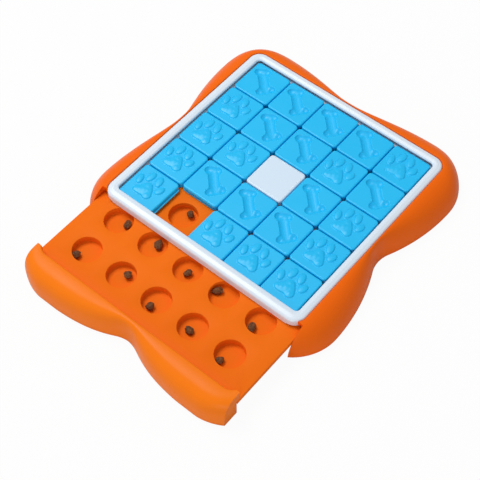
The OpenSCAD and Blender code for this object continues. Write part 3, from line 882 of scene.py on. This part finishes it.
# Round of the cups' lips: how far out and how far below the deck
CUP_LIP = ((0.35, 0), (0.1, 0.1), (0, 0.35))
SHEET = 2
UNDER_FILLET, UNDER_CHAMFER = 0.4, 0.5
STOP_NEAR, STOP_FAR, STOP_Y = 111, 119, (110.5, 114.4)
# The deck's edge, over its rounded rim, down the skirt and up inside it: half width, front,
# back and height
DECK_EDGE = ((125.1, -122.2, 114.1, DECK_Z), (125.38, -122.42, 114.38, DECK_Z - 0.12),
             (DRAWER_HALF, -122.5, 114.5, DECK_Z - 0.4), (DRAWER_HALF, -122.5, 114.5, EDGE_LOW),
             (123.5, -120.5, 112.5, EDGE_LOW), (123.5, -120.5, 112.5, DECK_Z - SHEET))
# The underside's edge, which meets the inside of the skirt
UNDER_EDGE = ((123.5, -120.5, 112.51, DECK_Z - SHEET),)


def circle_ring(r, z):
    turns = (2 * math.pi * i / CUP_SPOKES for i in range(CUP_SPOKES))
    return [(r * math.cos(turn), r * math.sin(turn), z) for turn in turns]


def cell_border(z):
    """The square border of one cup's share of the deck."""
    points = []
    for x, y, _ in circle_ring(1, 0):
        grow = PITCH / 2 / max(abs(x), abs(y))
        points.append((x * grow, y * grow, z))
    return points


def deck_sheet(rings, z):
    """A sheet of 25 cells, each sunk through the rings, with a margin out to the tray's edge."""
    cell = loft("cell", [cell_border(z)] + rings)
    edit_all(cell)
    mesh = bmesh.from_edit_mesh(cell.data)
    lid = max(mesh.faces, key=lambda face: face.calc_area())
    bmesh.ops.delete(mesh, geom=[lid], context="FACES_ONLY")
    bmesh.update_edit_mesh(cell.data)
    bpy.ops.object.mode_set(mode="OBJECT")
    copies = [copy_to_cell(cell, "cell", i % 5 + 1, i // 5 + 1) for i in range(25)]
    bpy.data.objects.remove(cell, do_unlink=True)
    sheet = join(copies)
    edit_all(sheet)
    bpy.ops.mesh.remove_doubles(threshold=1e-5)
    bpy.ops.object.mode_set(mode="OBJECT")
    return sheet


def widen(sheet, steps):
    """Extrudes a sheet's border through steps of half width, front, back and height."""
    edit_border(sheet)
    old_half, old_front, old_back = BOARD_HALF, -BOARD_HALF, BOARD_HALF
    for half, front, back, z in steps:
        bpy.ops.mesh.extrude_edges_move()
        mesh = bmesh.from_edit_mesh(sheet.data)
        for vertex in mesh.verts:
            if vertex.select:
                x, y = vertex.co.x / MM, vertex.co.y / MM
                if abs(abs(x) - old_half) < 0.001:
                    x = math.copysign(half, x)
                if abs(y - old_front) < 0.001:
                    y = front
                elif abs(y - old_back) < 0.001:
                    y = back
                vertex.co = Vector((x, y, z)) * MM
        old_half, old_front, old_back = half, front, back
    bpy.ops.object.mode_set(mode="OBJECT")


def make_tray():
    inside = [circle_ring(CUP_R + out, DECK_Z - down) for out, down in CUP_LIP]
    for i in range(7):
        angle = math.pi / 2 * i / 6
        inside.append(circle_ring(CUP_R - CUP_FILLET * (1 - math.cos(angle)),
                                  CUP_FLOOR + CUP_FILLET * (1 - math.sin(angle))))
    top = deck_sheet(inside, DECK_Z)
    widen(top, DECK_EDGE)
    r = CUP_R + SHEET
    outside = [circle_ring(r + UNDER_FILLET, DECK_Z - SHEET),
               circle_ring(r, DECK_Z - SHEET - UNDER_FILLET),
               circle_ring(r, CUP_BOTTOM + UNDER_CHAMFER),
               circle_ring(r - UNDER_CHAMFER, CUP_BOTTOM)]
    under = deck_sheet(outside, DECK_Z - SHEET)
    widen(under, UNDER_EDGE)
    tray = join([top, under])
    tray.name = "orange_drawer_tray"
    edit_all(tray)
    bpy.ops.mesh.remove_doubles(threshold=2e-5)
    face_outwards()
    # Bosses for the handle's screws, and the stops at the back
    hung = [peg(x, y, BOSS_R, (LUG_TOP, DECK_Z - 1)) for x, y in LUG_PLACES]
    hung += [side_block(side, STOP_NEAR, STOP_FAR, STOP_Y, (CUP_BOTTOM, DECK_Z - 1))
             for side in (1, -1)]
    combine(tray, join(hung), "UNION")
    smooth(tray, 35)
    dress(at_drawer(tray), orange_tray, "orange_tray", "drawer", "drawer_tray")


make_tray()


# ---------------------------------------------------------------------------------------------
# Kibble left in the cups

# Column and row of the cup, and the place in it in millimetres
KIBBLE = ((1, 1, -6.8, -9), (2, 1, 3, 5.7), (3, 1, -2.5, -6.9), (4, 1, -1.9, -2.8),
          (5, 1, -4.7, -9), (1, 2, 7.5, 4.1), (2, 2, 2.5, 5.1), (3, 2, 0.6, -1.2),
          (4, 2, -9.5, 1.9), (5, 2, -4, -8.5), (2, 3, 2.4, 7.8))
# Least and most half length, half width and half height
KIBBLE_HALF = ((3.9, 5.0), (3.1, 3.8), (2.4, 2.9))
KIBBLE_LUMPY = 0.3


def make_kibble():
    shape = random.Random(11)
    lumps = []
    for column, row, dx, dy in KIBBLE:
        bpy.ops.object.select_all(action="DESELECT")
        bpy.ops.mesh.primitive_cube_add(size=2)
        lump = bpy.context.object
        half = [shape.uniform(*span) * MM for span in KIBBLE_HALF]
        turn = Matrix.Rotation(shape.uniform(0, math.pi), 4, "Z")
        bpy.ops.object.mode_set(mode="EDIT")
        bpy.ops.mesh.bevel(offset=0.55, segments=1)
        bpy.ops.mesh.subdivide(number_cuts=1)
        bpy.ops.object.mode_set(mode="OBJECT")
        seed = Vector((shape.uniform(0, 50), shape.uniform(0, 50), 0))
        for vertex in lump.data.vertices:
            vertex.co *= 1 + KIBBLE_LUMPY * noise.noise(vertex.co * 0.9 + seed)
        lump.data.transform(turn @ Matrix.Diagonal((*half, 1)))
        x, y = (column - 3) * PITCH + dx, (row - 3) * PITCH + dy
        lump.data.transform(Matrix.Translation((x * MM, y * MM, CUP_FLOOR * MM + half[2])))
        edit_all(lump)
        bpy.ops.mesh.subdivide(number_cuts=1, fractal=0.2, fractal_along_normal=0.8,
                               seed=row * 7 + column)
        bpy.ops.object.mode_set(mode="OBJECT")
        low = min(vertex.co.z for vertex in lump.data.vertices)
        lump.data.transform(Matrix.Translation((0, 0, (CUP_FLOOR + 0.02) * MM - low)))
        lumps.append(lump)
    kibble = join(lumps)
    kibble.name = "kibble_bits"
    smooth(kibble, 24)
    kibble.data.materials.clear()
    kibble.data.materials.append(kibble_brown)
    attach(at_drawer(kibble), "drawer")


make_kibble()


# ---------------------------------------------------------------------------------------------
# CAD nodes that stay, with their finishes

for node, material in (("track_ring", white_frame), ("base_plate", orange_base), ("feet", rubber),
                       ("base_screws", steel), ("track_screws", steel), ("front_screws", steel)):
    kept = frame["nodes"][node]
    kept.data.materials.clear()
    kept.data.materials.append(material)
